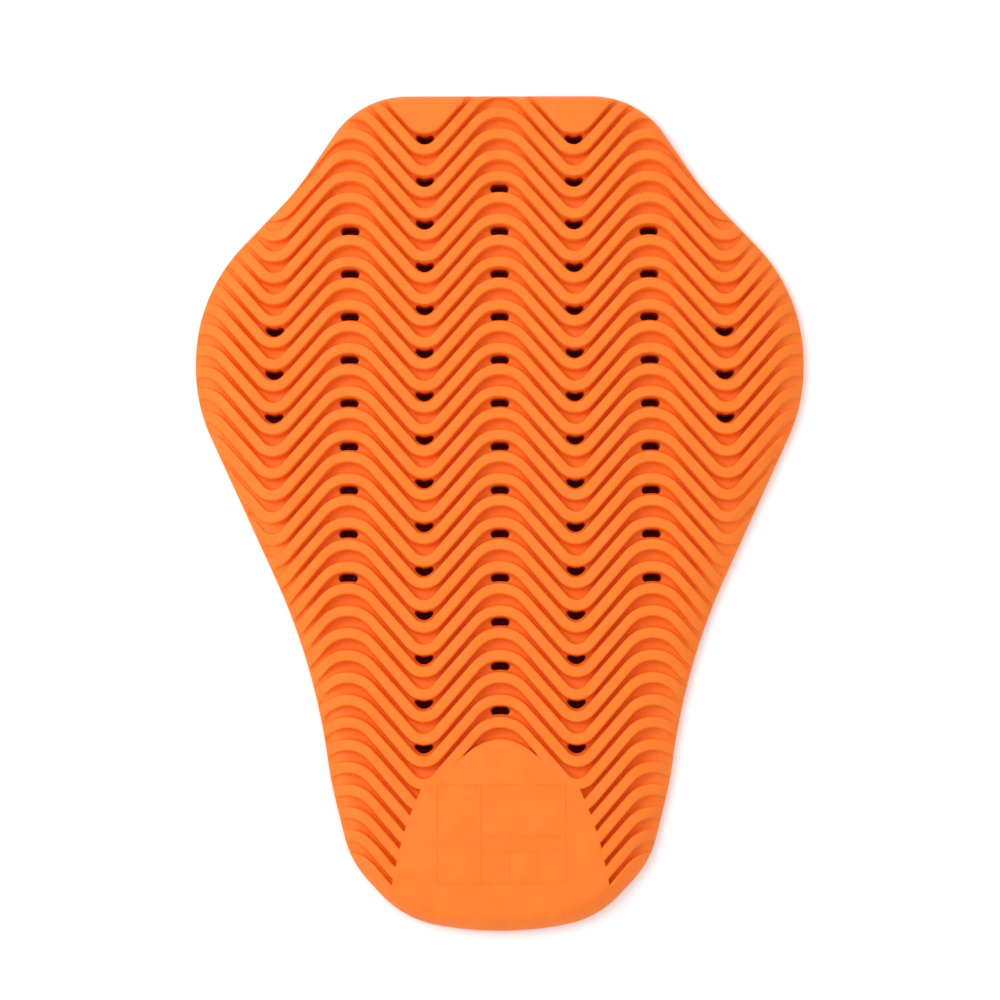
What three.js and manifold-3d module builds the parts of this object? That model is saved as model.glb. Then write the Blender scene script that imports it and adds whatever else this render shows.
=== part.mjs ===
// Back protector insert: one moulded foam pad with wavy ribs and vent slots.
// It lies on its flat back, with +X across the shoulders, +Y towards the neck and +Z up.
// All sizes are in millimetres.

import * as THREE from 'three';
import { mergeVertices } from 'three/addons/utils/BufferGeometryUtils.js';
import Module from 'manifold-3d';

// Body
const WIDTH = 302;
const LENGTH = 414;
const THICKNESS = 13;
const RIM_HEIGHT = 4.4;
const BACK_CHAMFER = 1.2;
const ROLL_WIDTH = 23;

// Wavy grooves between the ribs
const WAVE_LENGTH = 74.4;
const WAVE_HEIGHT = 29.9;
const GROOVE_COUNT = 36;
const GROOVE_PITCH = 10.83;
const GROOVE_WIDTH = 5.8;
const GROOVE_DEPTH = 6;
const GROOVE_DRAFT = 0.4;
const NECK_MARGIN = 24.1;

// Bend radii of a groove's two edges at its crests and troughs
const NECK_EDGE_CREST = 13.8;
const NECK_EDGE_TROUGH = 10.9;
const WAIST_EDGE_CREST = 17.6;
const WAIST_EDGE_TROUGH = 6.0;

// Vent slots through the groove floors
const VENT_WIDTH = 8.8;
const VENT_HEIGHT = 3.9;
const VENT_LAND = 6;

// Smooth label panel at the waist, with a raised blank ruling
const PANEL_WIDTH = 111;
const PANEL_FIRST_GROOVE = 30;
const RULING_WIDTH = 62;
const RULING_HEIGHT = 47;
const RULING_DROP = 21.5;
const RULE_WIDTH = 0.8;
const RULE_RAISE = 0.35;

// How far a cutting shape runs past the surface that it cuts
const OVERSHOOT = 2;

// Corners of the right half of the outline, before rounding, from the neck to the waist.
// across and bend are shares of the half width, along is a share of the half length,
// and roll is a share of ROLL_WIDTH. steps is how many chords the rounding has.
const OUTLINE_CORNERS = [
  { across: 0.464, along: 1.000, bend: 0.250, roll: 0.30, steps: 6 },
  { across: 0.672, along: 0.768, bend: 0.900, roll: 0.70, steps: 2 },
  { across: 1.000, along: 0.512, bend: 0.560, roll: 1.00, steps: 5 },
  { across: 1.000, along: 0.247, bend: 0.560, roll: 1.00, steps: 4 },
  { across: 0.605, along: -0.372, bend: 2.100, roll: 0.90, steps: 4 },
  { across: 0.546, along: -0.655, bend: 1.200, roll: 0.80, steps: 1 },
  { across: 0.481, along: -0.840, bend: 0.320, roll: 0.55, steps: 4 },
  { across: 0.312, along: -0.971, bend: 0.320, roll: 0.40, steps: 4 },
  { across: 0.104, along: -1.000, bend: 1.080, roll: 0.35, steps: 2 },
];

// Section of the edge, from the upright rim to the full thickness.
// inset is a share of the local roll width, and rise of the height above the rim.
const EDGE_SECTION = [
  { inset: 0.00, rise: 0.00 },
  { inset: 0.08, rise: 0.22 },
  { inset: 0.45, rise: 0.70 },
  { inset: 1.00, rise: 1.00 },
];

// A roll can't be wider than this share of the bend that it follows.
const ROLL_IN_BEND = 0.85;

// The share of a straight that the bends at its two ends may take up
const BENDS_ON_STRAIGHT = 0.98;

// Chords round each bend
const CREST_CHORDS = 3;
const TROUGH_CHORDS = 3;

// Columns of vents. side counts half waves from the middle, so an even side is a crest.
// first is the first vented groove, and every second groove after it has one too.
const VENT_COLUMNS = [
  { side: 0, first: 5, count: 13 },
  { side: 1, first: 0, count: 15 },
  { side: 2, first: 7, count: 9 },
  { side: 3, first: 9, count: 3 },
];
const GROOVES_PER_VENT = 2;

// Right half of each vent's outline, from its neck side round to its waist side,
// as shares of the vent's width and height.
const CREST_VENT = [
  { across: 0.36, up: 0.54 },
  { across: 0.50, up: 0.04 },
  { across: 0.41, up: -0.42 },
];
const TROUGH_VENT = [
  { across: 0.00, up: 0.56 },
  { across: 0.40, up: 0.74 },
  { across: 0.50, up: 0.40 },
  { across: 0.12, up: -0.30 },
];

// Right half of the smooth panel, from its arched neck side down to the waist edge.
// across is a share of the panel's half width, and down of its height.
const PANEL_EDGE = [
  { across: 0.00, down: 0.00 },
  { across: 0.17, down: 0.02 },
  { across: 0.34, down: 0.10 },
  { across: 0.67, down: 0.23 },
  { across: 0.70, down: 0.27 },
  { across: 0.83, down: 0.46 },
  { across: 0.94, down: 0.73 },
  { across: 1.00, down: 1.00 },
];

// Raised rules of the blank ruling, each from one end to the other, as shares of its width
// from the left and of its height from the waist side
const RULES = [
  { fromAcross: 0.00, fromUp: 0.00, toAcross: 1.00, toUp: 0.00 },
  { fromAcross: 0.34, fromUp: 0.32, toAcross: 1.00, toUp: 0.32 },
  { fromAcross: 0.34, fromUp: 0.47, toAcross: 1.00, toUp: 0.47 },
  { fromAcross: 0.00, fromUp: 1.00, toAcross: 1.00, toUp: 1.00 },
  { fromAcross: 0.00, fromUp: 0.00, toAcross: 0.00, toUp: 1.00 },
  { fromAcross: 0.34, fromUp: 0.00, toAcross: 0.34, toUp: 1.00 },
  { fromAcross: 0.56, fromUp: 0.00, toAcross: 0.56, toUp: 0.32 },
  { fromAcross: 0.78, fromUp: 0.00, toAcross: 0.78, toUp: 0.32 },
  { fromAcross: 1.00, fromUp: 0.00, toAcross: 1.00, toUp: 1.00 },
];

const HALF_WIDTH = WIDTH / 2;
const HALF_LENGTH = LENGTH / 2;
const HALF_WAVE = WAVE_LENGTH / 2;
const FLOOR_HEIGHT = THICKNESS - GROOVE_DEPTH;
const FIRST_CREST = HALF_LENGTH - NECK_MARGIN + WAVE_HEIGHT;

const wasm = await Module();
wasm.setup();

// Solids and meshes

function toSolid(geometry) {
  const bare = geometry.index ? geometry.clone() : geometry;
  bare.deleteAttribute('normal');
  bare.deleteAttribute('uv');
  const merged = mergeVertices(bare);
  return new wasm.Manifold(new wasm.Mesh({
    numProp: 3,
    vertProperties: new Float32Array(merged.attributes.position.array),
    triVerts: new Uint32Array(merged.index.array),
  }));
}

function toGeometry(solid) {
  const mesh = solid.getMesh();
  const geometry = new THREE.BufferGeometry();
  geometry.setAttribute('position', new THREE.BufferAttribute(mesh.vertProperties, 3));
  geometry.setIndex(new THREE.BufferAttribute(mesh.triVerts, 1));
  const faceted = geometry.toNonIndexed();
  faceted.computeVertexNormals();
  return faceted;
}

// A closed skin over rings of points, with the first and last ring capped.
// Rings run counterclockwise seen from the last ring's side, looking back at the first.
function loft(rings, capAxes) {
  const perRing = rings[0].length;
  const [first, second] = capAxes;
  const flat = rings[0].map((point) => new THREE.Vector2(point[first], point[second]));
  const capFaces = THREE.ShapeUtils.triangulateShape(flat, []);
  const lastRing = (rings.length - 1) * perRing;
  const faces = [];
  for (const [a, b, c] of capFaces) {
    faces.push(a, c, b);
    faces.push(lastRing + a, lastRing + b, lastRing + c);
  }
  for (let ring = 0; ring < rings.length - 1; ring += 1) {
    for (let i = 0; i < perRing; i += 1) {
      const next = (i + 1) % perRing;
      const low = ring * perRing;
      const high = low + perRing;
      faces.push(low + i, low + next, high + next);
      faces.push(low + i, high + next, high + i);
    }
  }
  const geometry = new THREE.BufferGeometry();
  geometry.setFromPoints(rings.flat());
  geometry.setIndex(faces);
  return toSolid(geometry);
}

function prism(shape, low, high) {
  const geometry = new THREE.ExtrudeGeometry(shape, {
    depth: high - low,
    bevelEnabled: false,
  });
  geometry.translate(0, 0, low);
  return toSolid(geometry);
}

// A symmetrical outline from its right half, listed from the top down.
function mirrored(rightHalf) {
  const leftHalf = rightHalf
    .filter((point) => point.x > 0)
    .reverse()
    .map((point) => new THREE.Vector2(-point.x, point.y));
  return new THREE.Shape([...rightHalf, ...leftHalf]);
}

// Outline of the pad

// How much the outline turns at one point of its path.
function turnAt(path, index) {
  if (index === 0 || index === path.length - 1) {
    return 0;
  }
  const arriving = path[index].clone().sub(path[index - 1]);
  const leaving = path[index + 1].clone().sub(path[index]);
  return Math.abs(Math.atan2(arriving.cross(leaving), arriving.dot(leaving)));
}

// The bend radius at each point of the path. Two bends that would meet on the straight
// between them both shrink until they fit on it.
function bendRadii(path) {
  const radii = [0, ...OUTLINE_CORNERS.map((corner) => corner.bend * HALF_WIDTH), 0];
  const reach = radii.map((radius, index) => radius * Math.tan(turnAt(path, index) / 2));
  const fit = path.slice(1).map((place, index) => {
    const room = BENDS_ON_STRAIGHT * place.distanceTo(path[index]);
    return Math.min(1, room / (reach[index] + reach[index + 1]));
  });
  return radii.map((radius, index) => radius * Math.min(fit[index - 1] ?? 1, fit[index] ?? 1));
}

// Points round one corner, each with its outward normal and its roll width.
function roundCorner(path, index, radius, corner) {
  const place = path[index];
  const back = path[index - 1].clone().sub(place).normalize();
  const ahead = path[index + 1].clone().sub(place).normalize();
  const turn = turnAt(path, index);
  const inward = back.clone().add(ahead).normalize();
  const centre = place.clone().addScaledVector(inward, radius / Math.cos(turn / 2));
  const side = Math.sign(back.cross(ahead));
  const outward = inward.clone().multiplyScalar(-1);
  const roll = corner.roll * ROLL_WIDTH;
  const points = [];
  for (let step = 0; step <= corner.steps; step += 1) {
    const angle = side * turn * (0.5 - step / corner.steps);
    const spoke = outward.clone().rotateAround(new THREE.Vector2(), angle);
    points.push({
      place: centre.clone().addScaledVector(spoke, radius),
      normal: spoke.multiplyScalar(side),
      roll: side > 0 ? Math.min(roll, ROLL_IN_BEND * radius) : roll,
    });
  }
  return points;
}

function padOutline() {
  const places = OUTLINE_CORNERS.map(
    (corner) => new THREE.Vector2(corner.across * HALF_WIDTH, corner.along * HALF_LENGTH),
  );
  const neckMiddle = new THREE.Vector2(0, HALF_LENGTH);
  const waistMiddle = new THREE.Vector2(0, -HALF_LENGTH);
  const path = [neckMiddle, ...places, waistMiddle];
  const radii = bendRadii(path);
  const right = OUTLINE_CORNERS.flatMap(
    (corner, index) => roundCorner(path, index + 1, radii[index + 1], corner),
  );
  const left = [...right].reverse().map((point) => ({
    place: new THREE.Vector2(-point.place.x, point.place.y),
    normal: new THREE.Vector2(-point.normal.x, point.normal.y),
    roll: point.roll,
  }));
  return [...right, ...left].reverse();
}

function outlineRing(outline, insetOf, height) {
  return outline.map((point) => {
    const inner = point.place.clone().addScaledVector(point.normal, -insetOf(point));
    return new THREE.Vector3(inner.x, inner.y, height);
  });
}

// The pad before it is grooved: a chamfered back, an upright rim and a rolled front edge.
function blank(outline) {
  const rings = [
    outlineRing(outline, () => BACK_CHAMFER, 0),
    outlineRing(outline, () => 0, BACK_CHAMFER),
  ];
  for (const { inset, rise } of EDGE_SECTION) {
    const height = RIM_HEIGHT + rise * (THICKNESS - RIM_HEIGHT);
    rings.push(outlineRing(outline, (point) => inset * point.roll, height));
  }
  return loft(rings, ['x', 'y']);
}

// Waves

// The slope at which a straight run meets both bends of a half wave.
function waveSlope(crestRadius, troughRadius) {
  const bends = crestRadius + troughRadius;
  const rise = WAVE_HEIGHT - bends;
  return Math.atan2(rise, HALF_WAVE) + Math.asin(bends / Math.hypot(HALF_WAVE, rise));
}

// A whole wave, from past the left edge to past the right edge, with a crest in the middle.
// Straight runs join its bends, which are crests and troughs by turns.
function wave(crestRadius, troughRadius) {
  const slope = waveSlope(crestRadius, troughRadius);
  const lastBend = Math.ceil((HALF_WIDTH + OVERSHOOT) / HALF_WAVE);
  const points = [];
  for (let bend = -lastBend; bend <= lastBend; bend += 1) {
    const isCrest = bend % 2 === 0;
    const radius = isCrest ? crestRadius : troughRadius;
    const chords = isCrest ? CREST_CHORDS : TROUGH_CHORDS;
    for (let step = 0; step <= chords; step += 1) {
      const angle = slope * (2 * step / chords - 1);
      const fall = radius * (1 - Math.cos(angle));
      points.push(new THREE.Vector2(
        bend * HALF_WAVE + radius * Math.sin(angle),
        isCrest ? -fall : fall - WAVE_HEIGHT,
      ));
    }
  }
  return points;
}

function crestOf(groove) {
  return FIRST_CREST - groove * GROOVE_PITCH;
}

// One edge of a groove at one height. side is 1 for the neck edge and -1 for the waist edge,
// and lean is how far the edge has moved into the groove from its mouth.
function grooveEdge(groove, side, lean, height) {
  const crestRadius = side > 0 ? NECK_EDGE_CREST : WAIST_EDGE_CREST;
  const troughRadius = side > 0 ? NECK_EDGE_TROUGH : WAIST_EDGE_TROUGH;
  const level = crestOf(groove) + side * (GROOVE_WIDTH / 2 - lean);
  const points = wave(crestRadius - side * lean, troughRadius + side * lean);
  return points.map((point) => new THREE.Vector3(point.x, point.y + level, height));
}

function grooveCutter(groove) {
  const mouthLean = -GROOVE_DRAFT * OVERSHOOT / GROOVE_DEPTH;
  const top = THICKNESS + OVERSHOOT;
  const edges = [
    grooveEdge(groove, 1, mouthLean, top),
    grooveEdge(groove, 1, GROOVE_DRAFT, FLOOR_HEIGHT),
    grooveEdge(groove, -1, GROOVE_DRAFT, FLOOR_HEIGHT),
    grooveEdge(groove, -1, mouthLean, top),
  ];
  const stations = edges[0].map((_, index) => edges.map((edge) => edge[index]).reverse());
  return loft(stations, ['y', 'z']);
}

// Vents

function ventShape(halfOutline, x, y) {
  const rightHalf = halfOutline.map(
    (point) => new THREE.Vector2(point.across * VENT_WIDTH, point.up * VENT_HEIGHT),
  );
  const points = mirrored(rightHalf).getPoints();
  return new THREE.Shape(points.map((point) => new THREE.Vector2(point.x + x, point.y + y)));
}

// Whether a place has solid foam round it, at least VENT_LAND wide.
function hasLand(outline, x, y) {
  const corners = outline.map((point) => point.place);
  let inside = false;
  let nearest = Infinity;
  corners.forEach((corner, index) => {
    const next = corners[(index + 1) % corners.length];
    const crosses = (corner.y > y) !== (next.y > y);
    const crossing = corner.x + (next.x - corner.x) * (y - corner.y) / (next.y - corner.y);
    if (crosses && x < crossing) {
      inside = !inside;
    }
    nearest = Math.min(nearest, corner.distanceTo(new THREE.Vector2(x, y)));
  });
  return inside && nearest > VENT_LAND + VENT_WIDTH / 2;
}

function ventCutters(outline) {
  const cutters = [];
  for (const { side, first, count } of VENT_COLUMNS) {
    const atCrest = side % 2 === 0;
    const drop = atCrest ? 0 : WAVE_HEIGHT;
    const columns = side === 0 ? [0] : [-side, side];
    for (let step = 0; step < count; step += 1) {
      const y = crestOf(first + step * GROOVES_PER_VENT) - drop;
      for (const column of columns) {
        const x = column * HALF_WAVE;
        if (hasLand(outline, x, y)) {
          const shape = ventShape(atCrest ? CREST_VENT : TROUGH_VENT, x, y);
          cutters.push(prism(shape, -OVERSHOOT, FLOOR_HEIGHT + OVERSHOOT));
        }
      }
    }
  }
  return cutters;
}

// Label panel

const PANEL_TOP = crestOf(PANEL_FIRST_GROOVE) - GROOVE_WIDTH / 2;

// The panel's area, where no groove is cut.
function panelKeeper() {
  const height = PANEL_TOP + HALF_LENGTH;
  const rightHalf = PANEL_EDGE.map((point) => new THREE.Vector2(
    point.across * PANEL_WIDTH / 2,
    PANEL_TOP - point.down * height,
  ));
  const low = -HALF_LENGTH - OVERSHOOT;
  rightHalf.push(new THREE.Vector2(PANEL_WIDTH / 2, low));
  rightHalf.push(new THREE.Vector2(0, low));
  return prism(mirrored(rightHalf), 0, THICKNESS + 2 * OVERSHOOT);
}

// Thin raised rules round blank cells.
function rulings() {
  const left = -RULING_WIDTH / 2;
  const low = PANEL_TOP - RULING_DROP - RULING_HEIGHT;
  return RULES.map((rule) => {
    const run = (rule.toAcross - rule.fromAcross) * RULING_WIDTH + RULE_WIDTH;
    const climb = (rule.toUp - rule.fromUp) * RULING_HEIGHT + RULE_WIDTH;
    const bar = new THREE.BoxGeometry(run, climb, 2 * RULE_RAISE);
    bar.translate(
      left + (rule.fromAcross + rule.toAcross) * RULING_WIDTH / 2,
      low + (rule.fromUp + rule.toUp) * RULING_HEIGHT / 2,
      THICKNESS,
    );
    return toSolid(bar);
  });
}

// The pad

function protectorPad() {
  const outline = padOutline();
  const keeper = panelKeeper();
  let pad = blank(outline);
  for (let groove = 0; groove < GROOVE_COUNT; groove += 1) {
    const cutter = grooveCutter(groove);
    const reachesPanel = groove >= PANEL_FIRST_GROOVE;
    pad = pad.subtract(reachesPanel ? cutter.subtract(keeper) : cutter);
  }
  for (const cutter of ventCutters(outline)) {
    pad = pad.subtract(cutter);
  }
  for (const rule of rulings()) {
    pad = pad.add(rule);
  }
  return pad;
}

const foam = new THREE.MeshStandardMaterial({
  color: 0xfc8939,
  roughness: 0.62,
  metalness: 0,
});

const pad = new THREE.Mesh(toGeometry(protectorPad()), foam);
pad.name = 'protector_pad';

const group = new THREE.Group();
group.add(pad);

export default group;
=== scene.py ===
# Looks of the back protector insert: one moulded foam pad with wavy ribs and vent slots.
# It lies on its flat back on a pale floor, with +X across and +Y towards the neck.

import math

import bmesh
import bpy
import numpy as np
from mathutils import Euler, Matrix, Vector
from mathutils.geometry import delaunay_2d_cdt


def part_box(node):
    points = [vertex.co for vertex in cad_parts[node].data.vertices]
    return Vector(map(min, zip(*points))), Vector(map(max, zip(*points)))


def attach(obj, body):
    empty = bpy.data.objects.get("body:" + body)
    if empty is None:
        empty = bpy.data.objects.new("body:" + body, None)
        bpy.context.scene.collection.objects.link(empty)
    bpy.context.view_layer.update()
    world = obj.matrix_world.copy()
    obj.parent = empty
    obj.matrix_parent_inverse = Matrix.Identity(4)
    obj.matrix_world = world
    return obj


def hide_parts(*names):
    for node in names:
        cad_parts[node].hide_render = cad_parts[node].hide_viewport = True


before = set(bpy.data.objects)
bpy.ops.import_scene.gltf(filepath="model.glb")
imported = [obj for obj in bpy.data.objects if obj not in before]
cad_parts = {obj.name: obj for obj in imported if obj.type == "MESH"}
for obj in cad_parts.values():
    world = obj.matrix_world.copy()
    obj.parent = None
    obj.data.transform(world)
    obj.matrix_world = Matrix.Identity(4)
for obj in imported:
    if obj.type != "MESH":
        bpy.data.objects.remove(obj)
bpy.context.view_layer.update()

# The pad is laid out in millimetres and its mesh is made in metres.
MM = 0.001

# Body
RULE_RAISE = 0.35
pad_low, pad_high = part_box("protector_pad")
HALF_WIDTH = (pad_high[0] - pad_low[0]) / 2 / MM
HALF_LENGTH = (pad_high[1] - pad_low[1]) / 2 / MM
THICKNESS = (pad_high[2] - pad_low[2]) / MM - RULE_RAISE
RIM_HEIGHT = 4.4
RIM_ROUND_WIDTH = 1.1
RIM_ROUND_DROP = 0.9
BACK_ROUND = 1.2
ROLL_WIDTH = 23
ROLL_SPREAD = 1.8
ROLL_SNAP = 0.8
RIM_RING_INSETS = (0, 0.12, 0.35, 0.7, 1.1)
RIM_RING_CLEAR = 0.15
ROLL_RING_SHARES = (0.15, 0.2, 0.27, 0.35, 0.45, 0.56, 0.68, 0.8, 0.9, 1.0)
OUTLINE_SPACING = 1.2
OUTLINE_BEND_POINTS = 25
BACK_ROUND_STEPS = 4
BACK_RING_INSET = 2.5
BACK_VENT_GROWTH = 1.3

# Wavy grooves between the ribs
WAVE_LENGTH = 74.4
WAVE_HEIGHT = 29.9
GROOVE_COUNT = 36
GROOVE_PITCH = 10.83
GROOVE_WIDTH = 5.8
GROOVE_DEPTH = 6
NECK_MARGIN = 24.1
NECK_EDGE = {"side": 1, "crest": 13.8, "trough": 10.9}
WAIST_EDGE = {"side": -1, "crest": 17.6, "trough": 6.0}
BEND_STEPS = 10
RUN_STEPS = 5

# Section of a groove's wall, from the rounded lip of the rib down to the floor
LIP_WIDTH = 0.8
LIP_DROP = 0.5
WALL_LEAN = 0.4
FOOT_WIDTH = 1.4
FOOT_RISE = 1.2
ROW_LEANS = (-0.8, -0.42, -0.14, 0.0, 0.4, 0.7, 1.1, 1.7)
SOFT_FADE = 0.2

# The groove floors roll down towards the rim, where the grooves run out.
FLOOR_ROLL_SHARE = 0.45
RIM_FLOOR_HEIGHT = 2.8
RIM_EASE = 1.6
RIM_EASE_WIDTH = 1.6

# Vents
VENT_WIDTH = 8.8
VENT_HEIGHT = 3.9
VENT_SPACING = 0.55
VENT_EDGE_WIDTH = 0.35
VENT_EDGE_DROP = 0.2
VENT_CLEAR = 0.2
VENT_TAPER = 0.7
VENT_RINGS = 6
VENT_CORNER_CUTS = 3
VENT_BACK_FLARE = 0.35
GROOVES_PER_VENT = 2

# Label panel and its blank ruling
PANEL_WIDTH = 111
PANEL_FIRST_GROOVE = 30
PANEL_SPACING = 0.4
PANEL_CORNER_CUTS = 2
RULING_WIDTH = 62
RULING_HEIGHT = 47
RULING_DROP = 21.5
RULE_TOP = 0.22
RULE_FOOT = 0.5
RULE_SPACING = 1.5
RULE_MARGINS = (0.22, 0.5, 0.8, 1.4)

# Working values: points handled at once, and lengths too short or too long to matter
POINTS_AT_ONCE = 4000
SHORTEST_SQUARE = 1e-12
FAR_AWAY = 1000
SIDE_PROBE = 0.1
LOOP_INSET = 0.01
SAME_POINT = 1e-4
SAME_VERTEX = 0.004
SHARP_ANGLE = 62

# Corners of the right half of the outline, before rounding, from the neck to the waist.
# across and bend are shares of the half width, along is a share of the half length,
# and roll is a share of ROLL_WIDTH.
OUTLINE_CORNERS = (
    {"across": 0.464, "along": 1.000, "bend": 0.290, "roll": 0.30},
    {"across": 0.672, "along": 0.768, "bend": 0.900, "roll": 0.70},
    {"across": 1.000, "along": 0.512, "bend": 0.560, "roll": 1.00},
    {"across": 1.000, "along": 0.247, "bend": 0.560, "roll": 1.00},
    {"across": 0.605, "along": -0.372, "bend": 2.100, "roll": 0.90},
    {"across": 0.546, "along": -0.655, "bend": 1.200, "roll": 0.80},
    {"across": 0.481, "along": -0.840, "bend": 0.320, "roll": 0.55},
    {"across": 0.312, "along": -0.971, "bend": 0.320, "roll": 0.40},
    {"across": 0.104, "along": -1.000, "bend": 1.080, "roll": 0.35},
)

# Columns of vents. side counts half waves from the middle, so an even side is a crest.
VENT_COLUMNS = (
    {"side": 0, "first": 5, "count": 13},
    {"side": 1, "first": 0, "count": 15},
    {"side": 2, "first": 7, "count": 9},
    {"side": 3, "first": 9, "count": 3},
)

# Right half of each vent's outline before rounding, as shares of its width and height
CREST_VENT = (
    {"across": 0.21, "up": 0.60},
    {"across": 0.41, "up": 0.52},
    {"across": 0.545, "up": 0.24},
    {"across": 0.535, "up": -0.24},
    {"across": 0.41, "up": -0.50},
    {"across": 0.21, "up": -0.39},
)
TROUGH_VENT = (
    {"across": 0.12, "up": 0.62},
    {"across": 0.36, "up": 0.80},
    {"across": 0.535, "up": 0.76},
    {"across": 0.535, "up": 0.36},
    {"across": 0.35, "up": -0.10},
    {"across": 0.12, "up": -0.38},
)

# Right half of the smooth panel, from its arched neck side down to the waist edge.
# across is a share of the panel's half width, and down of its height.
PANEL_EDGE = (
    {"across": 0.00, "down": 0.000},
    {"across": 0.09, "down": 0.006},
    {"across": 0.17, "down": 0.024},
    {"across": 0.26, "down": 0.056},
    {"across": 0.34, "down": 0.10},
    {"across": 0.67, "down": 0.23},
    {"across": 0.70, "down": 0.27},
    {"across": 0.83, "down": 0.46},
    {"across": 0.94, "down": 0.73},
    {"across": 1.00, "down": 1.00},
    {"across": 1.00, "down": 1.06},
)

# Rules of the blank ruling: from one end to the other, as shares of its width from the left
# and of its height from the waist side
RULES = (
    ((0.00, 0.00), (1.00, 0.00)),
    ((0.34, 0.32), (1.00, 0.32)),
    ((0.34, 0.47), (1.00, 0.47)),
    ((0.00, 1.00), (1.00, 1.00)),
    ((0.00, 0.00), (0.00, 1.00)),
    ((0.34, 0.00), (0.34, 1.00)),
    ((0.56, 0.00), (0.56, 0.32)),
    ((0.78, 0.00), (0.78, 0.32)),
    ((1.00, 0.00), (1.00, 1.00)),
)

HALF_WAVE = WAVE_LENGTH / 2
FLOOR_HEIGHT = THICKNESS - GROOVE_DEPTH
FIRST_CREST = HALF_LENGTH - NECK_MARGIN + WAVE_HEIGHT
PANEL_TOP = FIRST_CREST - PANEL_FIRST_GROOVE * GROOVE_PITCH - GROOVE_WIDTH / 2
PANEL_HEIGHT = PANEL_TOP + HALF_LENGTH


# Plane geometry


def unit(vector):
    return vector / np.linalg.norm(vector)


def resample(points, spacing, closed=True):
    """Evenly spaced columns along a path. The first two columns are its place."""
    path = np.vstack([points, points[:1]]) if closed else points
    steps = np.linalg.norm(np.diff(path[:, :2], axis=0), axis=1)
    along = np.concatenate([[0], np.cumsum(steps)])
    count = max(3, round(along[-1] / spacing))
    wanted = np.linspace(0, along[-1], count + 1)
    if closed:
        wanted = wanted[:-1]
    return np.column_stack([np.interp(wanted, along, path[:, k]) for k in range(path.shape[1])])


def rounded_loop(points, cuts):
    """A closed polygon whose corners are cut off again and again, a quarter of each side."""
    loop = np.array(points, float)
    for _ in range(cuts):
        quarter = (np.roll(loop, -1, axis=0) - loop) / 4
        loop = np.stack([loop + quarter, loop + 3 * quarter], 1).reshape(-1, 2)
    return loop


def segment_distance(points, starts, ends):
    """Each point's distance to its nearest segment, that segment, and how far along it."""
    nearest = np.full(len(points), np.inf)
    which = np.zeros(len(points), int)
    share = np.zeros(len(points))
    runs = ends - starts
    lengths = np.maximum((runs ** 2).sum(1), SHORTEST_SQUARE)
    for first in range(0, len(points), POINTS_AT_ONCE):
        turn = slice(first, first + POINTS_AT_ONCE)
        part = points[turn]
        to = part[:, None, :] - starts[None, :, :]
        t = np.clip((to * runs[None]).sum(2) / lengths[None], 0, 1)
        gap = np.linalg.norm(to - t[:, :, None] * runs[None], axis=2)
        best = gap.argmin(1)
        rows = np.arange(len(part))
        nearest[turn] = gap[rows, best]
        which[turn] = best
        share[turn] = t[rows, best]
    return nearest, which, share


def inside_loop(points, loop):
    """Whether each point lies inside a closed loop."""
    x, y = points[:, 0], points[:, 1]
    inside = np.zeros(len(points), bool)
    for (ax, ay), (bx, by) in zip(loop, np.roll(loop, -1, axis=0)):
        if ay != by:
            crosses = ((ay > y) != (by > y)) & (x < (bx - ax) * (y - ay) / (by - ay) + ax)
            inside ^= crosses
    return inside


# Outline of the pad


def outline_bend(before, corner, after):
    """Columns x, y, roll round one corner."""
    place = np.array([corner["across"] * HALF_WIDTH, corner["along"] * HALF_LENGTH])
    back, ahead = unit(before - place), unit(after - place)
    turn = math.pi - math.acos(float(back @ ahead))
    radius = corner["bend"] * HALF_WIDTH
    inward = unit(back + ahead)
    centre = place + inward * radius / math.cos(turn / 2)
    side = np.sign(back[0] * ahead[1] - back[1] * ahead[0])
    middle = math.atan2(-inward[1], -inward[0])
    rows = []
    for angle in middle + side * turn / 2 * np.linspace(1, -1, OUTLINE_BEND_POINTS):
        rows.append([
            centre[0] + radius * math.cos(angle),
            centre[1] + radius * math.sin(angle),
            corner["roll"] * ROLL_WIDTH,
        ])
    return rows


def pad_outline():
    """Columns x, y, roll round the pad, counterclockwise and evenly spaced."""
    places = [np.array([c["across"] * HALF_WIDTH, c["along"] * HALF_LENGTH]) for c in OUTLINE_CORNERS]
    path = [np.array([0, HALF_LENGTH]), *places, np.array([0, -HALF_LENGTH])]
    right = []
    for index, corner in enumerate(OUTLINE_CORNERS):
        right += outline_bend(path[index], corner, path[index + 2])
    right = np.array(right)
    left = right[::-1] * [-1, 1, 1]
    return resample(np.vstack([right, left])[::-1], OUTLINE_SPACING)


outline = pad_outline()
outline_next = np.roll(outline, -1, axis=0)
outline_run = outline_next[:, :2] - np.roll(outline, 1, axis=0)[:, :2]
outline_normal = np.column_stack([outline_run[:, 1], -outline_run[:, 0]])
outline_normal /= np.linalg.norm(outline_normal, axis=1)[:, None]


def outline_ring(inset):
    """The outline moved inward. inset is one length, or one for each point."""
    return outline[:, :2] - outline_normal * np.broadcast_to(inset, len(outline))[:, None]


def edge_inset(points):
    """How far in from the outline each point is, and the roll width there."""
    gap, which, share = segment_distance(points, outline[:, :2], outline_next[:, :2])
    roll = outline[which, 2] * (1 - share) + outline_next[which, 2] * share
    return gap, roll


# Waves


def wave_slope(crest, trough):
    """The slope at which a straight run meets both bends of a half wave."""
    rise = WAVE_HEIGHT - crest - trough
    return math.atan2(rise, HALF_WAVE) + math.asin((crest + trough) / math.hypot(HALF_WAVE, rise))


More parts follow.
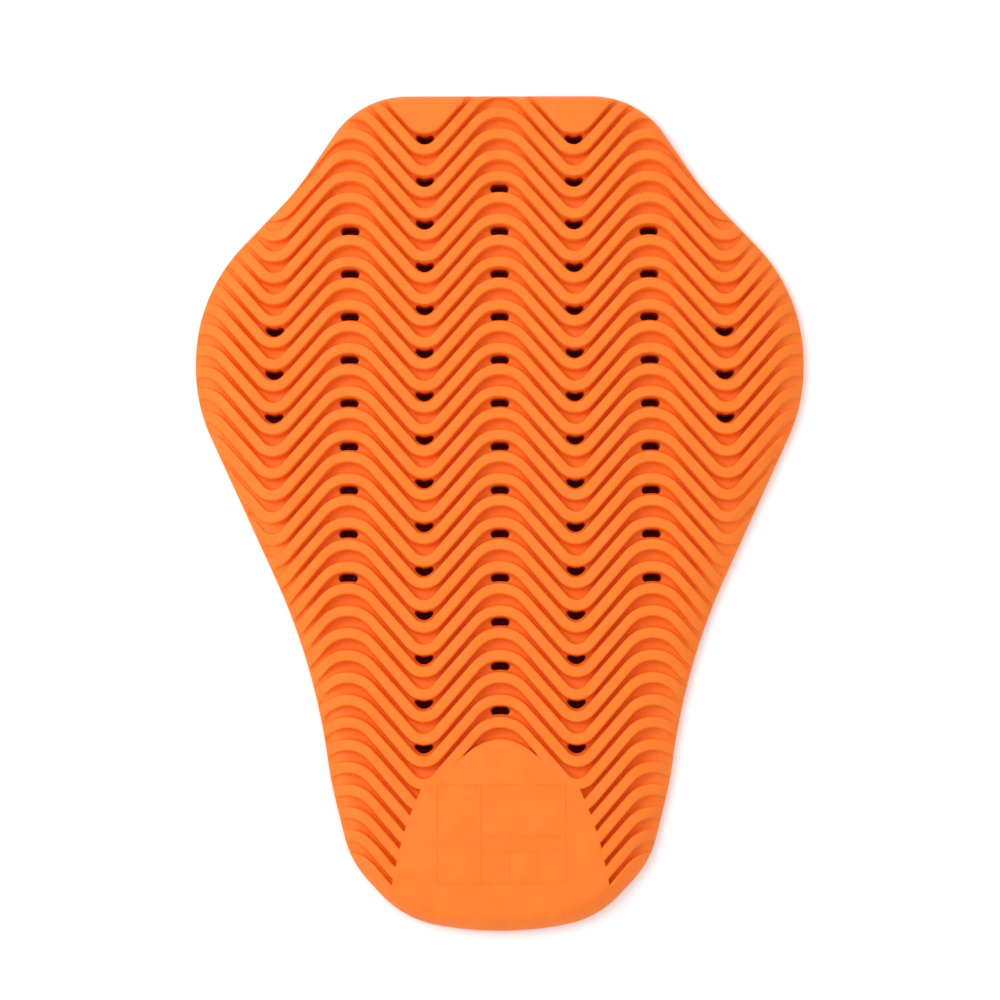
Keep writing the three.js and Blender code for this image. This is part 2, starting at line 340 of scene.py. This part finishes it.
def wave_points(crest, trough):
    """A wave from past the left edge to past the right, with a crest at the origin."""
    slope = wave_slope(crest, trough)
    last_bend = math.ceil(HALF_WIDTH / HALF_WAVE)
    bends = []
    for bend in range(-last_bend, last_bend + 1):
        is_crest = bend % 2 == 0
        radius = crest if is_crest else trough
        angles = np.linspace(-slope, slope, BEND_STEPS + 1)
        fall = radius * (1 - np.cos(angles))
        height = -fall if is_crest else fall - WAVE_HEIGHT
        bends.append(np.column_stack([bend * HALF_WAVE + radius * np.sin(angles), height]))
    pieces = [bends[0]]
    for before, after in zip(bends, bends[1:]):
        shares = np.linspace(0, 1, RUN_STEPS + 1)[1:-1, None]
        pieces.append(before[-1] * (1 - shares) + after[0] * shares)
        pieces.append(after)
    return np.vstack(pieces)


def above_wave(x, y, crest, trough):
    """How far each point lies above a wave with its crest at the origin."""
    slope = wave_slope(crest, trough)
    along_x, along_y = math.cos(slope), -math.sin(slope)
    u = np.abs(x) % WAVE_LENGTH
    u = np.minimum(u, WAVE_LENGTH - u)
    crest_y = y + crest
    trough_x, trough_y = u - HALF_WAVE, y + WAVE_HEIGHT - trough
    at_crest = u * along_x + crest_y * along_y < 0
    at_trough = trough_x * along_x + trough_y * along_y > 0
    above = -u * along_y + crest_y * along_x - crest
    above = np.where(at_crest, np.hypot(u, crest_y) - crest, above)
    return np.where(at_trough, trough - np.hypot(trough_x, trough_y), above)


def edge_level(groove, edge):
    return FIRST_CREST - groove * GROOVE_PITCH + edge["side"] * GROOVE_WIDTH / 2


middle_wave = wave_points(
    (NECK_EDGE["crest"] + WAIST_EDGE["crest"]) / 2,
    (NECK_EDGE["trough"] + WAIST_EDGE["trough"]) / 2,
)


def panel_loop():
    right = [
        (row["across"] * PANEL_WIDTH / 2, PANEL_TOP - row["down"] * PANEL_HEIGHT)
        for row in PANEL_EDGE
    ]
    left = [(-x, y) for x, y in right[::-1] if x > 0]
    return rounded_loop(left + right, PANEL_CORNER_CUTS)


panel = panel_loop()


def outside_panel(points):
    """How far outside the smooth panel each point is, and less than 0 inside it."""
    gap, _, _ = segment_distance(points, panel, np.roll(panel, -1, axis=0))
    return np.where(inside_loop(points, panel), -gap, gap)


def outside_groove(points, stopped=True):
    """How far each point is outside the nearest groove, and less than 0 inside it.

    stopped says whether the grooves end at the panel or run on under it.
    """
    x, y = points[:, 0], points[:, 1]
    centre = np.interp(x, middle_wave[:, 0], middle_wave[:, 1])
    guess = np.round((FIRST_CREST + centre - y) / GROOVE_PITCH)
    panel_side = -outside_panel(points)
    nearest = np.full(len(points), float(FAR_AWAY))
    for step in (-1, 0, 1):
        groove = np.clip(guess + step, 0, GROOVE_COUNT - 1)
        above_neck = above_wave(
            x, y - edge_level(groove, NECK_EDGE), NECK_EDGE["crest"], NECK_EDGE["trough"]
        )
        above_waist = above_wave(
            x, y - edge_level(groove, WAIST_EDGE), WAIST_EDGE["crest"], WAIST_EDGE["trough"]
        )
        outside = np.maximum(above_neck, -above_waist)
        if stopped:
            at_panel = groove >= PANEL_FIRST_GROOVE
            outside = np.where(at_panel, np.maximum(outside, panel_side), outside)
        nearest = np.minimum(nearest, outside)
    return nearest


# Vents


def vent_loops():
    """The outline of each vent, counterclockwise, with its centre."""
    loops = []
    for column in VENT_COLUMNS:
        at_crest = column["side"] % 2 == 0
        shape = CREST_VENT if at_crest else TROUGH_VENT
        right = [(p["across"] * VENT_WIDTH, p["up"] * VENT_HEIGHT) for p in shape]
        left = [(-x, y) for x, y in right[::-1]]
        loop = resample(rounded_loop((right + left)[::-1], VENT_CORNER_CUTS), VENT_SPACING)
        sides = (0,) if column["side"] == 0 else (-column["side"], column["side"])
        for step in range(column["count"]):
            groove = column["first"] + step * GROOVES_PER_VENT
            y = FIRST_CREST - groove * GROOVE_PITCH - (0 if at_crest else WAVE_HEIGHT)
            for side in sides:
                centre = np.array([side * HALF_WAVE, y])
                loops.append((centre, loop + centre))
    return loops


vents = vent_loops()


def near_vent(points, reach):
    """Whether each point is inside a vent or within reach of one, and how far it is from it."""
    close = np.zeros(len(points), bool)
    gap = np.full(len(points), np.inf)
    for centre, loop in vents:
        span = VENT_WIDTH + reach
        box = np.where((np.abs(points - centre) < span).all(1))[0]
        if len(box):
            distance, _, _ = segment_distance(points[box], loop, np.roll(loop, -1, axis=0))
            inside = inside_loop(points[box], loop)
            close[box] |= inside | (distance < reach)
            gap[box] = np.minimum(gap[box], distance)
    return close, gap


# Ruling


def ruling_lines():
    low = PANEL_TOP - RULING_DROP - RULING_HEIGHT
    corner = np.array([-RULING_WIDTH / 2, low])
    size = np.array([RULING_WIDTH, RULING_HEIGHT])
    return np.array([[corner + size * start, corner + size * end] for start, end in RULES])


rule_lines = ruling_lines()


# Heights of the front


def rib_share(outside):
    """Height above the groove floor, as a share of the groove's depth."""
    lip = 1 - LIP_DROP / GROOVE_DEPTH * np.clip(1 - outside / LIP_WIDTH, 0, 1) ** 2
    foot_share = FOOT_RISE / GROOVE_DEPTH
    lip_share = 1 - LIP_DROP / GROOVE_DEPTH
    wall = lip_share + (lip_share - foot_share) * outside / WALL_LEAN
    foot = foot_share * np.clip(1 + (outside + WALL_LEAN) / FOOT_WIDTH, 0, 1) ** 2
    return np.where(outside >= 0, lip, np.where(outside >= -WALL_LEAN, wall, foot))


def front_height(points):
    inset, roll = edge_inset(points)
    share = np.clip(inset / roll, 0, 1)
    rise = (1 - (1 - share) ** ROLL_SPREAD) ** ROLL_SNAP
    top = RIM_HEIGHT + (THICKNESS - RIM_HEIGHT) * rise
    top -= RIM_ROUND_DROP * np.clip(1 - inset / RIM_ROUND_WIDTH, 0, 1) ** 2
    fall = np.clip(1 - share / FLOOR_ROLL_SHARE, 0, 1) ** 2
    floor = FLOOR_HEIGHT - (FLOOR_HEIGHT - RIM_FLOOR_HEIGHT) * fall
    over = top - floor - RIM_EASE * np.clip(1 - inset / RIM_EASE_WIDTH, 0, 1)
    depth = (over + np.sqrt(over ** 2 + SOFT_FADE ** 2)) / 2
    height = top - (1 - rib_share(outside_groove(points))) * depth
    _, vent_gap = near_vent(points, VENT_EDGE_WIDTH)
    height -= VENT_EDGE_DROP * np.clip(1 - vent_gap / VENT_EDGE_WIDTH, 0, 1) ** 2
    rule_gap, _, _ = segment_distance(points, rule_lines[:, 0], rule_lines[:, 1])
    rule = np.clip((RULE_FOOT - rule_gap) / (RULE_FOOT - RULE_TOP), 0, 1)
    return height + RULE_RAISE * rule * rule * (3 - 2 * rule)


# Layout of the front's mesh


class Layout:
    """Points and lines that the front's triangles must follow."""

    def __init__(self):
        self.points = []
        self.lines = []

    def add(self, points, keep, closed=False, linked=True):
        """Adds the kept points of a path, with lines between kept neighbours."""
        numbers = np.full(len(points), -1)
        numbers[keep] = len(self.points) + np.arange(int(keep.sum()))
        self.points += [Vector((float(x), float(y))) for x, y in points[keep]]
        if linked:
            ahead = np.roll(numbers, -1)
            if not closed:
                ahead[-1] = -1
            pairs = (numbers >= 0) & (ahead >= 0)
            self.lines += [(int(a), int(b)) for a, b in zip(numbers[pairs], ahead[pairs])]


def in_ribbed_area(points):
    """Whether each point is inside the rings along the rim."""
    inset, _ = edge_inset(points)
    return inside_loop(points, outline[:, :2]) & (inset > RIM_RING_INSETS[-1] + RIM_RING_CLEAR)


def add_waves(layout):
    for groove in range(GROOVE_COUNT):
        for edge in (NECK_EDGE, WAIST_EDGE):
            for lean in ROW_LEANS:
                shift = edge["side"] * lean
                row = wave_points(edge["crest"] - shift, edge["trough"] + shift)
                row = row + [0, edge_level(groove, edge) - shift]
                keep = in_ribbed_area(row)
                close, _ = near_vent(row, VENT_CLEAR)
                keep &= ~close
                if groove >= PANEL_FIRST_GROOVE:
                    keep &= outside_panel(row) > -LIP_WIDTH
                layout.add(row, keep, linked=lean <= WALL_LEAN)
        row = middle_wave + [0, FIRST_CREST - groove * GROOVE_PITCH + GROOVE_PITCH / 2]
        keep = in_ribbed_area(row)
        if groove >= PANEL_FIRST_GROOVE:
            keep &= outside_panel(row) > LIP_WIDTH
        layout.add(row, keep, linked=False)


def add_rim(layout):
    everywhere = np.ones(len(outline), bool)
    for inset in RIM_RING_INSETS:
        layout.add(outline_ring(inset), everywhere, closed=True, linked=inset == 0)
    for share in ROLL_RING_SHARES:
        ring = outline_ring(share * outline[:, 2])
        keep = outside_groove(ring) > 2 * LIP_WIDTH
        layout.add(ring, keep, linked=False)


def add_panel_edge(layout):
    edge = resample(panel, PANEL_SPACING)
    run = np.roll(edge, -1, axis=0) - np.roll(edge, 1, axis=0)
    normal = np.column_stack([run[:, 1], -run[:, 0]])
    normal /= np.linalg.norm(normal, axis=1)[:, None]
    outward = np.sign(outside_panel(edge + normal * SIDE_PROBE))[:, None] * normal
    for lean in ROW_LEANS:
        line = edge + outward * lean
        near = outside_groove(line, stopped=False) < LIP_WIDTH
        layout.add(line, near & in_ribbed_area(line), linked=True)


def add_vents(layout):
    for centre, loop in vents:
        whole = np.ones(len(loop), bool)
        layout.add(loop, whole, closed=True)
        grown = centre + (loop - centre) * (1 + 2 * VENT_EDGE_WIDTH / VENT_HEIGHT)
        layout.add(grown, outside_groove(grown) < -WALL_LEAN, linked=False)


def add_ruling(layout):
    for start, end in rule_lines:
        run = unit(end - start)
        side = np.array([-run[1], run[0]])
        for offset in (*(-m for m in RULE_MARGINS), *RULE_MARGINS):
            reach = run * abs(offset)
            ends = np.array([start - reach, end + reach]) + side * offset
            line = resample(ends, RULE_SPACING, closed=False)
            layout.add(line, np.ones(len(line), bool))


def triangulate(layout, loop, holes):
    """Triangles inside a loop and outside the holes, as points and their numbers."""
    points, _, faces, *_ = delaunay_2d_cdt(layout.points, layout.lines, [], 0, SAME_POINT)
    points = np.array([(p.x, p.y) for p in points])
    faces = np.array(faces)
    centres = points[faces].mean(1)
    keep = inside_loop(centres, loop)
    for centre, hole in holes:
        box = np.where((np.abs(centres - centre) < VENT_WIDTH).all(1))[0]
        keep[box] &= ~inside_loop(centres[box], hole)
    return points, faces[keep]


# Solid mesh


class Skin:
    """Vertices in millimetres, each with its depth inside a vent, which sets the shade painted on the
    vent walls, and faces.
    """

    def __init__(self):
        self.vertices = []
        self.vent_shade_depth = []
        self.faces = []
        self.count = 0

    def add(self, points, vent_shade_depth=0.0):
        first = self.count
        self.vertices.append(points)
        self.vent_shade_depth.append(np.broadcast_to(vent_shade_depth, len(points)))
        self.count += len(points)
        return first

    def join_rings(self, low, high, size):
        """Faces between two rings, facing right of the way the rings run, seen from above."""
        for i in range(size):
            ahead = (i + 1) % size
            self.faces.append((low + i, low + ahead, high + ahead, high + i))


def flat(points, height):
    return np.column_stack([points, np.broadcast_to(height, len(points))])


def add_front(skin):
    layout = Layout()
    add_rim(layout)
    add_waves(layout)
    add_panel_edge(layout)
    add_vents(layout)
    add_ruling(layout)
    points, faces = triangulate(layout, outline_ring(LOOP_INSET), vents)
    first = skin.add(flat(points, front_height(points)))
    skin.faces += [tuple(int(first + k) for k in face) for face in faces]


def back_round(step):
    """Inset and height at one step of the quarter round between the rim and the back."""
    angle = math.pi / 2 * step / BACK_ROUND_STEPS
    return BACK_ROUND * (1 - math.cos(angle)), BACK_ROUND * (1 - math.sin(angle))


def add_side(skin):
    """The upright rim and its rounding into the back. Returns the back's outline."""
    size = len(outline)
    rim_top = outline_ring(0)
    rings = [flat(rim_top, front_height(rim_top))]
    rings.append(flat(rim_top, (RIM_HEIGHT - RIM_ROUND_DROP + BACK_ROUND) / 2))
    for step in range(BACK_ROUND_STEPS + 1):
        inset, height = back_round(step)
        rings.append(flat(outline_ring(inset), height))
    firsts = [skin.add(ring) for ring in rings]
    for high, low in zip(firsts, firsts[1:]):
        skin.join_rings(low, high, size)
    return rings[-1][:, :2]


def add_vent_walls(skin):
    """The vents' walls, which narrow towards the back. Returns the openings in the back."""
    openings = []
    for centre, loop in vents:
        top = front_height(loop)
        firsts = [skin.add(flat(loop, top))]
        for ring in range(1, VENT_RINGS + 1):
            share = ring / VENT_RINGS
            narrow = centre + (loop - centre) * (1 - (1 - VENT_TAPER) * share)
            height = top * (1 - share) + VENT_BACK_FLARE * share
            # The depth share of each ring sets how much shade is painted on the vent wall there.
            firsts.append(skin.add(flat(narrow, height), share))
        opening = centre + (narrow - centre) * (1 + VENT_BACK_FLARE / VENT_HEIGHT)
        firsts.append(skin.add(flat(opening, 0)))
        for high, low in zip(firsts, firsts[1:]):
            skin.join_rings(high, low, len(loop))
        openings.append((centre, opening))
    return openings


def add_back(skin, back_loop, openings):
    layout = Layout()
    everywhere = np.ones(len(back_loop), bool)
    layout.add(back_loop, everywhere, closed=True)
    layout.add(outline_ring(BACK_RING_INSET), everywhere, closed=True, linked=False)
    for centre, opening in openings:
        layout.add(opening, np.ones(len(opening), bool), closed=True)
        grown = centre + (opening[::2] - centre) * BACK_VENT_GROWTH
        layout.add(grown, np.ones(len(grown), bool), linked=False)
    points, faces = triangulate(layout, outline_ring(BACK_ROUND + LOOP_INSET), openings)
    first = skin.add(flat(points, 0))
    skin.faces += [tuple(int(first + k) for k in face[::-1]) for face in faces]


def pad_mesh():
    skin = Skin()
    add_front(skin)
    back_loop = add_side(skin)
    openings = add_vent_walls(skin)
    add_back(skin, back_loop, openings)
    vertices = np.vstack(skin.vertices) * MM
    mesh = bpy.data.meshes.new("foam_pad")
    mesh.from_pydata(vertices.tolist(), [], skin.faces)
    vent_shade_depth = mesh.attributes.new("vent_shade_depth", "FLOAT", "POINT")
    vent_shade_depth.data.foreach_set("value", np.concatenate(skin.vent_shade_depth).astype(np.float32))
    work = bmesh.new()
    work.from_mesh(mesh)
    bmesh.ops.remove_doubles(work, verts=work.verts, dist=SAME_VERTEX * MM)
    bmesh.ops.recalc_face_normals(work, faces=work.faces)
    for face in work.faces:
        face.smooth = True
    work.to_mesh(mesh)
    work.free()
    mesh.set_sharp_from_angle(angle=math.radians(SHARP_ANGLE))
    return mesh


# Materials

# Noises of the foam's skin. scale is in waves a metre, and depth in metres.
MOTTLE = {
    "scale": 90, "detail": 5, "roughness": 0.6,
    "stops": ((0.35, (0.89, 0.180, 0.014, 1)), (0.65, (0.91, 0.201, 0.020, 1))),
}
SPECKLE = {
    "scale": 1400, "detail": 3, "roughness": 0.7,
    "stops": ((0.38, (0.96, 0.93, 0.90, 1)), (0.60, (1.0, 1.0, 1.0, 1))),
}
GLOSS = {
    "scale": 220, "detail": 4, "roughness": 0.6,
    "stops": ((0.3, (0.50, 0.50, 0.50, 1)), (0.7, (0.64, 0.64, 0.64, 1))),
}
GRAIN = {"scale": 2600, "detail": 4, "roughness": 0.65, "strength": 0.35, "depth": 0.00012}
SWELL = {"scale": 110, "detail": 3, "roughness": 0.5, "strength": 0.2, "depth": 0.0006}
FOAM_SPECULAR = 0.25

# Shade painted on the walls of the vents, from the mouth inward, dark red to near black
VENT_MOUTH_SHADE_COLOR = (0.60, 0.05, 0.01, 1)
VENT_DEEP_SHADE_COLOR = (0.08, 0.003, 0.003, 1)
VENT_SHADE_FADE_SHARE = 0.18

# The floor is pale in the open, with dark maroon shade painted into its colour where the pad shuts
# the sky out, as under a vent.
OPEN_SKY_REACH = 0.014
OPEN_SKY_SAMPLES = 8
FLOOR_PAINTED_SHADE_STOPS = ((0.34, (0.15, 0.003, 0.005, 1)), (0.46, (0.97, 0.97, 0.97, 1)))
FLOOR_ROUGHNESS = 0.8


class Nodes:
    """A material's node tree, built one node at a time."""

    def __init__(self, name):
        self.material = bpy.data.materials.new(name)
        self.material.use_nodes = True
        self.tree = self.material.node_tree
        self.shader = self.tree.nodes["Principled BSDF"]

    def add(self, kind, **values):
        node = self.tree.nodes.new(kind)
        for key, value in values.items():
            if hasattr(node, key):
                setattr(node, key, value)
            else:
                node.inputs[key.replace("_", " ")].default_value = value
        return node

    def link(self, source, target):
        self.tree.links.new(source, target)

    def noise(self, look):
        node = self.add("ShaderNodeTexNoise")
        node.inputs["Scale"].default_value = look["scale"]
        node.inputs["Detail"].default_value = look["detail"]
        node.inputs["Roughness"].default_value = look["roughness"]
        self.link(self.place.outputs["Object"], node.inputs["Vector"])
        return node.outputs["Fac"]

    def ramp(self, source, stops):
        node = self.add("ShaderNodeValToRGB")
        elements = node.color_ramp.elements
        while len(elements) < len(stops):
            elements.new(1)
        for element, (position, color) in zip(elements, stops):
            element.position = position
            element.color = color
        self.link(source, node.inputs["Fac"])
        return node.outputs["Color"]

    def mix(self, factor, first, second, blend="MIX"):
        node = self.add("ShaderNodeMix", data_type="RGBA", blend_type=blend)
        for value, name in ((factor, "Factor_Float"), (first, "A_Color"), (second, "B_Color")):
            socket = next(s for s in node.inputs if s.identifier == name)
            if isinstance(value, bpy.types.NodeSocket):
                self.link(value, socket)
            else:
                socket.default_value = value
        return next(s for s in node.outputs if s.identifier == "Result_Color")

    def bump(self, look, noise, under=None):
        """A bump of one strength and depth from a noise, laid over another bump."""
        node = self.add("ShaderNodeBump")
        node.inputs["Strength"].default_value = look["strength"]
        node.inputs["Distance"].default_value = look["depth"]
        self.link(noise, node.inputs["Height"])
        if under:
            self.link(under, node.inputs["Normal"])
        return node.outputs["Normal"]


def gray(level):
    return (level, level, level, 1)


def foam_material():
    nodes = Nodes("foam")
    nodes.place = nodes.add("ShaderNodeTexCoord")
    mottle = nodes.ramp(nodes.noise(MOTTLE), MOTTLE["stops"])
    speckle = nodes.ramp(nodes.noise(SPECKLE), SPECKLE["stops"])
    color = nodes.mix(1.0, mottle, speckle, "MULTIPLY")
    # Painted shade: the vent walls darken with their depth inside the vent, over the foam's own
    # colour.
    vent_shade_depth = nodes.add("ShaderNodeAttribute", attribute_name="vent_shade_depth").outputs["Fac"]
    shaded = nodes.mix(vent_shade_depth, VENT_MOUTH_SHADE_COLOR, VENT_DEEP_SHADE_COLOR)
    vent_shade_mask = nodes.ramp(vent_shade_depth, ((0, gray(0)), (VENT_SHADE_FADE_SHARE, gray(1))))
    color = nodes.mix(vent_shade_mask, color, shaded)
    nodes.link(color, nodes.shader.inputs["Base Color"])
    gloss = nodes.ramp(nodes.noise(GLOSS), GLOSS["stops"])
    nodes.link(gloss, nodes.shader.inputs["Roughness"])
    nodes.shader.inputs["Specular IOR Level"].default_value = FOAM_SPECULAR
    grain = nodes.bump(GRAIN, nodes.noise(GRAIN))
    swell = nodes.bump(SWELL, nodes.noise(SWELL), grain)
    nodes.link(swell, nodes.shader.inputs["Normal"])
    return nodes.material


def floor_material():
    nodes = Nodes("pale_floor")
    open_sky = nodes.add("ShaderNodeAmbientOcclusion")
    open_sky.samples = OPEN_SKY_SAMPLES
    open_sky.inputs["Distance"].default_value = OPEN_SKY_REACH
    # Painted shade: an ambient-occlusion ramp turns the floor's colour dark maroon under and beside
    # the pad.
    color = nodes.ramp(open_sky.outputs["AO"], FLOOR_PAINTED_SHADE_STOPS)
    nodes.link(color, nodes.shader.inputs["Base Color"])
    nodes.shader.inputs["Roughness"].default_value = FLOOR_ROUGHNESS
    nodes.shader.inputs["Specular IOR Level"].default_value = 0
    return nodes.material


# The pad in the scene

pad = bpy.data.objects.new("foam_pad", pad_mesh())
bpy.context.collection.objects.link(pad)
pad.data.materials.append(foam_material())
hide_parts("protector_pad")
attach(pad, "root")


# Floor, light and camera

FLOOR_SIZE = 40.0
FLOOR_GAP = 0.0001

PHOTO_LENS = 85
PHOTO_SENSOR = 36
PHOTO_DISTANCE = 1.165
PHOTO_TILT = 6.5
PHOTO_TURN = -0.1
PHOTO_AIM = (0.0, 0.0026, 0.004)

KEY_PLACE = (-0.60, 0.26, 0.88)
KEY_SIZE = 0.6
KEY_POWER = 4.7
WORLD_STRENGTH = 0.95


def make_floor():
    half = FLOOR_SIZE / 2
    mesh = bpy.data.meshes.new("floor")
    sides = ((-1, -1), (1, -1), (1, 1), (-1, 1))
    corners = [(half * across, half * along, -FLOOR_GAP) for across, along in sides]
    mesh.from_pydata(corners, [], [(0, 1, 2, 3)])
    floor = bpy.data.objects.new("floor", mesh)
    bpy.context.collection.objects.link(floor)
    mesh.materials.append(floor_material())


def make_light(name, place, size, power):
    data = bpy.data.lights.new(name, "AREA")
    data.size = size
    data.energy = power
    light = bpy.data.objects.new(name, data)
    light.location = place
    light.rotation_euler = (-Vector(place)).to_track_quat("-Z", "Y").to_euler()
    bpy.context.collection.objects.link(light)


def make_world(strength):
    world = bpy.data.worlds.new("studio")
    world.use_nodes = True
    background = world.node_tree.nodes["Background"]
    background.inputs["Color"].default_value = gray(1)
    background.inputs["Strength"].default_value = strength
    bpy.context.scene.world = world


def make_camera():
    data = bpy.data.cameras.new("camera")
    data.lens = PHOTO_LENS
    data.sensor_width = PHOTO_SENSOR
    camera = bpy.data.objects.new("camera", data)
    facing = Euler((math.radians(PHOTO_TILT), 0, math.radians(PHOTO_TURN)))
    away = Vector((0, 0, PHOTO_DISTANCE))
    away.rotate(facing)
    camera.location = Vector(PHOTO_AIM) + away
    camera.rotation_euler = facing
    bpy.context.collection.objects.link(camera)
    bpy.context.scene.camera = camera


make_floor()
make_light("key", KEY_PLACE, KEY_SIZE, KEY_POWER)
make_world(WORLD_STRENGTH)
make_camera()
bpy.context.scene.view_settings.view_transform = "Standard"
